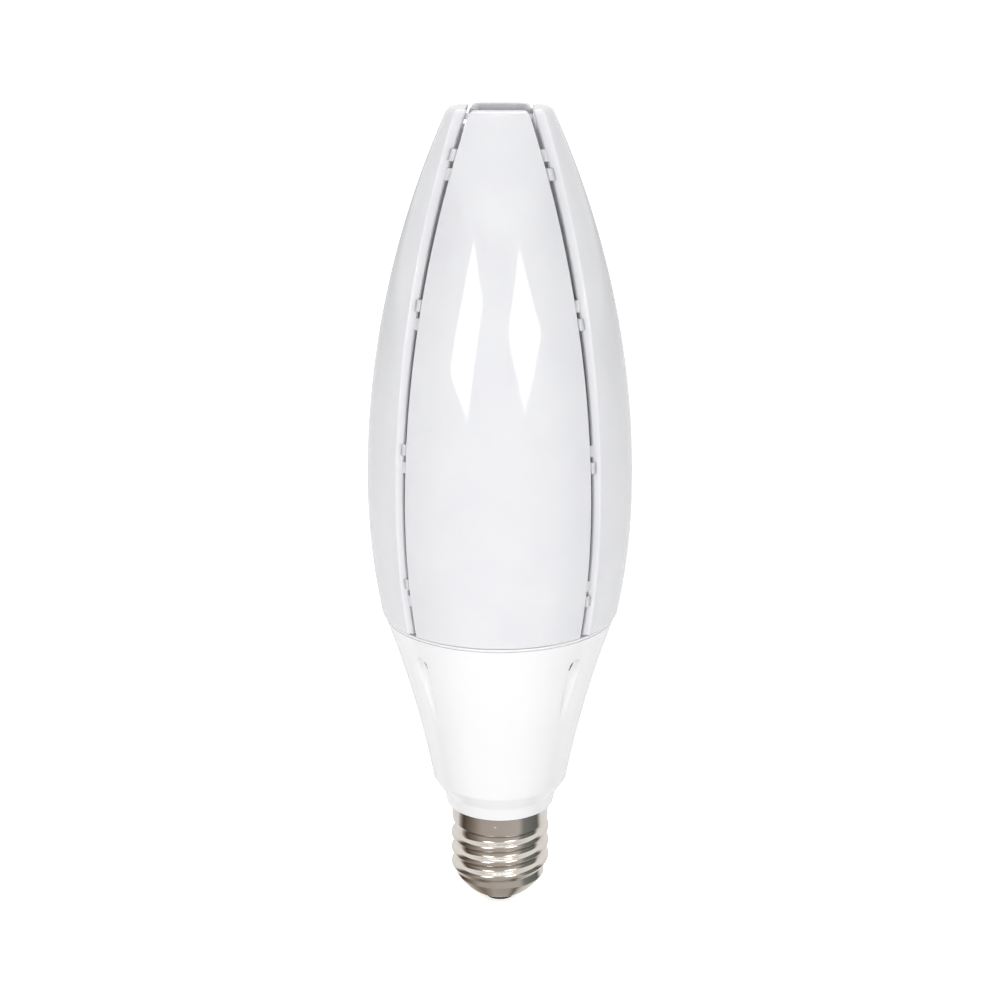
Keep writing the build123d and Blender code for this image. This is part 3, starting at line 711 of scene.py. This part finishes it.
def cap_sheet():
    """Tip arc, thread and skirt on one grid, and the same again one wall further in."""
    angle = np.linspace(0, 2 * np.pi, cap_columns, endpoint=False)[None, :]
    tip, top = np.array([tip_radius, cap_low[2]]), np.array([root_radius, tip_top])
    share = np.linspace(0, 1, tip_steps)[:-1, None]
    normal = np.array([top[1] - tip[1], tip[0] - top[0]]) / np.linalg.norm(top - tip)
    arc = tip + (top - tip) * share + normal * tip_bulge * 4 * share * (1 - share)
    z = np.concatenate([arc[:, 1], np.linspace(tip_top, cap_high[2], thread_steps)])[:, None]
    tip_rows = np.repeat(arc[:, :1], angle.size, axis=1)
    radius = np.concatenate([tip_rows, cap_radius(z[len(arc):], angle)])
    inner_rows = np.unique(np.linspace(0, len(z) - 1, inner_steps).astype(int))[::-1]
    radius = np.concatenate([radius, radius[inner_rows] - shell_wall])
    z = np.concatenate([z, z[inner_rows]])
    points = np.stack([radius * np.cos(angle), radius * np.sin(angle), z + 0 * angle], axis=-1)
    return points.reshape(-1, 3), grid_faces(len(z), angle.size, around=True, along=True)


make_piece("screw_cap_shell", cap_sheet(), cap_metal, ["cap_shell"], crease=60)

# %% [markdown]
# ## Insulator and contact
# Black glass fills the tip of the cap and carries the contact button. Both are turned shapes: a
# short closed profile carried round the axis.

# %% Black glass and tinned brass


def black_glass():
    """Moulded black glass: deep, glossy, with the faint swirl of pressed glass."""
    material, tree, place = blank_material("black_glass")
    swirl = noise(tree, place, size=3, detail=3.0, Distortion=1.5)
    surface(tree, {
        "Base Color": two_tones(tree, swirl, "#0B0B0D", "#1C1B1E"),
        "Roughness": spread(tree, swirl, 0.08, 0.22),
        "IOR": 1.52,
    })
    return material


def tinned_brass():
    """Stamped brass with a thin grey coat of tin that lets the brass show through in places."""
    material, tree, place = blank_material("tinned_brass")
    coat = noise(tree, place, size=1.6, detail=4.0)
    surface(tree, {
        "Base Color": two_tones(tree, coat, "#B59A5E", "#C9C5BA"),
        "Metallic": 1.0,
        "Roughness": spread(tree, coat, 0.2, 0.45),
    })
    return material


def turned(profile, columns=96):
    """A profile of radius and height carried round the axis, closed unless it starts on the axis."""
    profile = np.array(profile, dtype=float)
    angle = np.linspace(0, 2 * np.pi, columns, endpoint=False)[None, :]
    radius, z = profile[:, :1], profile[:, 1:]
    points = np.stack([radius * np.cos(angle), radius * np.sin(angle), z + 0 * angle], axis=-1)
    return points.reshape(-1, 3), grid_faces(len(profile), columns, around=True, along=profile[0, 0] > 0)


glass_low, glass_high = box_mm("cap_insulator")
plug_gap, plug_head, bore = 0.3, 2.0, 1.6
plug_radius, seat_height = tip_radius - plug_gap, glass_high[2] - plug_head
lip_radius, lip_low, glass_rounds = 4.7, 0.25, (0.1, 0.3, 0.4)
glass_profile = np.concatenate([
    rounded((bore, glass_low[2]), (lip_radius, glass_low[2]), (lip_radius, lip_low), glass_rounds[0]),
    rounded((lip_radius, glass_low[2]), (lip_radius, lip_low), (plug_radius, lip_low), glass_rounds[1]),
    rounded((lip_radius, lip_low), (plug_radius, lip_low), (plug_radius, seat_height), glass_rounds[2]),
    [(plug_radius, seat_height), (glass_high[0], seat_height), glass_high[[0, 2]]],
    [(bore, glass_high[2]), (bore, glass_low[2])],
])
make_piece("glass_insulator", turned(glass_profile), black_glass(), ["cap_insulator"])

button_radius, button_edge, button_height = box_mm("centre_contact")[1][0], 0.8, 1.0
stem_radius, stem_top = 1.5, box_mm("centre_contact")[1][2]
turn_up = np.linspace(0, np.pi / 2, 9)
edge = np.stack([
    button_radius - button_edge * (1 - np.sin(turn_up)),
    button_edge * (1 - np.cos(turn_up)),
], axis=-1)
button_profile = np.concatenate([
    np.linspace((0, 0), (button_radius - button_edge, 0), 3, endpoint=False),
    edge,
    [(button_radius, button_height), (stem_radius, button_height), (stem_radius, stem_top), (0, stem_top)],
])
make_piece("contact_button", turned(button_profile), tinned_brass(), ["centre_contact"])

# %% [markdown]
# ## Finishes of the solids that stay
# The boards' edges show in the slots, and the driver's parts would show if the lamp were opened.
# Their solids have the right shape, so they keep it and take a finish. One function makes an
# everyday finish from two tones, the size of its mottling and its gloss; each call names a real
# material.

# %% Boards and inner parts


def mottled(name, tones, size, roughness, stretch=(1.0, 1.0, 1.0), metallic=0.0):
    """Two tones and two gloss levels mixed by one noise of a real size, with a matching bump."""
    material, tree, place = blank_material(name)
    squeeze = add(tree, "ShaderNodeMapping", {"Vector": place, "Scale": stretch})
    mottle = noise(tree, squeeze.outputs["Vector"], size, detail=4.0)
    surface(tree, {
        "Base Color": two_tones(tree, mottle, *tones),
        "Metallic": metallic,
        "Roughness": spread(tree, mottle, *roughness),
        "Normal": bumped(tree, mottle, strength=0.3, depth=0.02),
    })
    return material


finishes = {
    "board_aluminium": mottled(
        "rolled_aluminium", ("#E4E5E6", "#F2F2F3"), 4, (0.4, 0.55), stretch=(6.0, 6.0, 1.0), metallic=0.3
    ),
    "phosphor": mottled("phosphor_silicone", ("#D9B532", "#EBCF5A"), 0.8, (0.4, 0.6)),
    "white_matt_plastic": mottled("matt_white_nylon", ("#DCDCDA", "#E8E8E6"), 3, (0.5, 0.65)),
    "screw_steel": mottled("zinc_plated_steel", ("#9A9B9D", "#C2C3C2"), 0.7, (0.25, 0.4), metallic=1.0),
    "board_laminate": mottled("green_solder_mask", ("#22502F", "#2F6A3E"), 2, (0.25, 0.4)),
    "ferrite": mottled("sintered_ferrite", ("#1A1A1C", "#2B2B2D"), 0.6, (0.6, 0.8)),
    "can_sleeve": mottled("shrunk_vinyl_sleeve", ("#12141B", "#1D212C"), 5, (0.2, 0.35)),
    "black_package": mottled("moulded_epoxy", ("#101010", "#1C1C1C"), 0.5, (0.5, 0.7)),
    "fuse_glass": mottled("fuse_glass_tube", ("#C9CFCC", "#DCE0DD"), 2, (0.05, 0.12)),
    "varistor_lacquer": mottled("blue_dip_lacquer", ("#1B3C80", "#274E9C"), 1.5, (0.25, 0.4)),
    "lead_insulation": mottled("white_lead_insulation", ("#CFCFCB", "#DEDEDA"), 2, (0.35, 0.5)),
}
for subpart in frame["record"]["subparts"]:
    if subpart["material_slot"] in finishes:
        node = frame["nodes"][subpart["node"]]
        for holder in node.material_slots:
            holder.material = finishes[subpart["material_slot"]]
print("finishes on solids:", len(finishes))

# %% [markdown]
# ## Floor and sky
# The photograph has a pure white ground. The floor is a pale matt sheet, and only what the camera or
# a mirror sees of it is lifted to white, so its light on the lamp and the lamp's shadow stay real.
# The sky is an even white that does the same.

# %% Floor and sky
floor_lift, mirror_lift, bounce_lift, floor_half = 0.62, 0.12, 0.08, 40.0
sky_for_soft_light = 0.55


def level_by_ray(tree, camera_level, mirror_level, soft_level):
    """Strength by kind of ray: seen by the camera, shown by mirrors and clear things, or soft light."""
    path = add(tree, "ShaderNodeLightPath").outputs
    rays = {0: path["Is Glossy Ray"], 1: path["Is Transmission Ray"]}
    mirror = add(tree, "ShaderNodeMath", rays, operation="MAXIMUM").outputs["Value"]
    other = spread(tree, mirror, soft_level, mirror_level)
    return spread(tree, path["Is Camera Ray"], other, camera_level)


def floor_sheet():
    """Matt white paper, with a lift to white for what is seen directly."""
    material, tree, place = blank_material("white_paper")
    tint = two_tones(tree, noise(tree, place, size=40), "#F0F0F0", "#F4F4F4")
    paper = add(tree, "ShaderNodeBsdfDiffuse", {"Color": tint})
    lift = level_by_ray(tree, floor_lift, mirror_lift, bounce_lift)
    glow = add(tree, "ShaderNodeEmission", {"Strength": lift})
    both = add(tree, "ShaderNodeAddShader", {0: paper.outputs["BSDF"], 1: glow.outputs["Emission"]})
    add(tree, "ShaderNodeOutputMaterial", {"Surface": both.outputs["Shader"]})
    return material


floor_mesh = bpy.data.meshes.new("floor")
floor_corners = np.array([(-1, -1, 0), (1, -1, 0), (1, 1, 0), (-1, 1, 0)]) * floor_half
floor_mesh.from_pydata(floor_corners.tolist(), [], [(0, 1, 2, 3)])
floor_mesh.materials.append(floor_sheet())
floor = bpy.data.objects.new("floor", floor_mesh)
bpy.context.scene.collection.objects.link(floor)

sky = bpy.data.worlds.new("studio_sky")
bpy.context.scene.world = sky
sky.use_nodes = True
sky_tree = sky.node_tree
sky_tree.nodes.clear()
sky_level = level_by_ray(sky_tree, 1.0, 1.0, sky_for_soft_light)
white = add(sky_tree, "ShaderNodeBackground", {"Color": (1.0, 1.0, 1.0, 1.0), "Strength": sky_level})
add(sky_tree, "ShaderNodeOutputWorld", {"Surface": white.outputs["Background"]})
print("floor and sky made")

# %% [markdown]
# ## Softboxes
# The two bright kites on the front leaf are reflections of two square softboxes, each standing on a
# corner, left and right of the camera. Their corners are given as directions from the lamp, in
# degrees to the right and up, and places in the studio are in metres. A low soft lamp in front lights
# the belly more than the top, as in the photograph, and shows in no mirror.

# %% Lights
lamp_middle = np.array([0.0, -0.045, 0.245])
softbox_distance, softbox_strength, weave_share = 1.6, 5.0, 0.05
softboxes = {
    "softbox_left": ((-31.7, 24.6), (-16.3, 15.8), (-27.4, -3.0), (-45.6, 3.2)),
    "softbox_right": ((24.2, 23.8), (41.9, 9.5), (22.9, -1.6), (8.8, 10.9)),
    "softbox_above": ((-45, 62), (45, 62), (45, 80), (-45, 80)),
}


def softbox_cloth():
    """White cloth lit from behind, a little uneven by its weave."""
    material, tree, place = blank_material("softbox_cloth")
    weakest, strongest = softbox_strength * (1 - weave_share), softbox_strength * (1 + weave_share)
    power = spread(tree, noise(tree, place, size=300), weakest, strongest)
    glow = add(tree, "ShaderNodeEmission", {"Strength": power})
    add(tree, "ShaderNodeOutputMaterial", {"Surface": glow.outputs["Emission"]})
    return material


cloth = softbox_cloth()
for name, corners in softboxes.items():
    turn, rise = np.radians(np.array(corners)).T
    way = np.stack([np.sin(turn) * np.cos(rise), -np.cos(turn) * np.cos(rise), np.sin(rise)], axis=-1)
    mesh = bpy.data.meshes.new(name)
    mesh.from_pydata((lamp_middle + way * softbox_distance).tolist(), [], [(0, 1, 2, 3)])
    mesh.materials.append(cloth)
    softbox = bpy.data.objects.new(name, mesh)
    softbox.visible_camera = False
    softbox.visible_diffuse = name != "softbox_above"
    bpy.context.scene.collection.objects.link(softbox)


def area_lamp(name, place, aim, size, power):
    """Square area lamp at a place, turned to face a point."""
    data = bpy.data.lights.new(name, "AREA")
    data.size, data.energy = size, power
    lamp = bpy.data.objects.new(name, data)
    bpy.context.scene.collection.objects.link(lamp)
    lamp.location = place
    way = np.array(aim) - np.array(place)
    lamp.rotation_euler = (np.arccos(-way[2] / np.linalg.norm(way)), 0, np.arctan2(way[0], -way[1]) + np.pi)
    return lamp


fill = area_lamp("low_fill", place=(0, -1.6, 0.15), aim=(0, 0, 0.15), size=1.0, power=6.6)
fill.visible_glossy = False
area_lamp("high_back", place=(0, 0.9, 1.7), aim=(0, 0, 0.3), size=1.0, power=10)
print("lights:", len(bpy.data.lights), "lamps and", len(softboxes), "softboxes")

# %% [markdown]
# ## Flags
# Polished metal needs something dark to reflect. In the photograph two dark zones stand left and
# right of the cap and a pale one in front, with soft borders. One slanted card round the lamp, painted
# in tones that run into each other, does this. Only mirrors see it, so it neither shades the lamp nor
# shows in the picture.

# %% Flags
flag_paint = {
    -110: "#FFFFFF", -98: "#A0968D", -88: "#50453C", -60: "#8E847B", -40: "#BCB5B0",
    42: "#C8C3C1", 54: "#868886", 92: "#6A6D6A", 106: "#FFFFFF",
}
below_paint = {
    -110: "#FFFFFF", -60: "#A89E95", -35: "#857A70", -12: "#B8B0A8",
    20: "#B0AAA4", 32: "#706E6A", 46: "#D0CCC8", 106: "#FFFFFF",
}
flag_radii, flag_rises = (0.0075, 0.028, 0.03, 2.0, 2.8), (0.0003, 0.0008, 0.001, 0.02, 1.6)
flag_columns = 109


def painted(turn, paint):
    """Linear colours at some angles, blended between the tones painted at given angles."""
    light = np.array([linear(tone) for tone in paint.values()])
    return np.stack([np.interp(turn, list(paint), light[:, part]) for part in range(4)], axis=-1)


def flag_card():
    """Dull painted card: its own light is the tone stored in its mesh, so that it looks even."""
    material, tree = blank_material("painted_card")[:2]
    tone = add(tree, "ShaderNodeAttribute", attribute_name="tone")
    glow = add(tree, "ShaderNodeEmission", {"Color": tone.outputs["Color"]})
    add(tree, "ShaderNodeOutputMaterial", {"Surface": glow.outputs["Emission"]})
    return material


turn = np.linspace(min(flag_paint), max(flag_paint), flag_columns)
below, round_about = painted(turn, below_paint), painted(turn, flag_paint)
tone = np.stack([below, below, round_about, round_about, round_about])
radius, rise = np.array(flag_radii)[:, None], np.array(flag_rises)[:, None] + 0 * turn
way = np.stack([radius * np.sin(np.radians(turn)), -radius * np.cos(np.radians(turn)), rise], axis=-1)
mesh = bpy.data.meshes.new("flag")
mesh.from_pydata(way.reshape(-1, 3).tolist(), [], grid_faces(len(radius), len(turn)).tolist())
layer = mesh.attributes.new("tone", "FLOAT_COLOR", "POINT")
layer.data.foreach_set("color", tone.ravel())
mesh.materials.append(flag_card())
flag = bpy.data.objects.new("flag", mesh)
flag.visible_camera = flag.visible_diffuse = flag.visible_shadow = False
bpy.context.scene.collection.objects.link(flag)
print(f"flag from {turn[0]:.0f} to {turn[-1]:.0f} degrees")

# %% [markdown]
# ## Camera
# The camera was fitted to the ellipses of the rim and the cap: it stands 0.72 m from the lamp's axis,
# a little to the right, above the lamp's top, and looks down by 17 degrees.

# %% Camera
camera_distance, camera_height = 0.7219, 0.3907
camera_turn, camera_dip = np.radians(1.15), np.radians(17.132)
focal_pixels, frame_pixels, sensor_width = 1967.4, 1000, 36.0

camera_data = bpy.data.cameras.new("camera")
camera_data.sensor_width = sensor_width
camera_data.lens = sensor_width * focal_pixels / frame_pixels
camera = bpy.data.objects.new("camera", camera_data)
bpy.context.scene.collection.objects.link(camera)
camera.location = (
    camera_distance * np.sin(camera_turn),
    -camera_distance * np.cos(camera_turn),
    camera_height,
)
camera.rotation_euler = (np.pi / 2 - camera_dip, 0, camera_turn)
bpy.context.scene.camera = camera
bpy.context.scene.view_settings.view_transform = "Standard"
print(f"lens {camera_data.lens:.1f} mm")
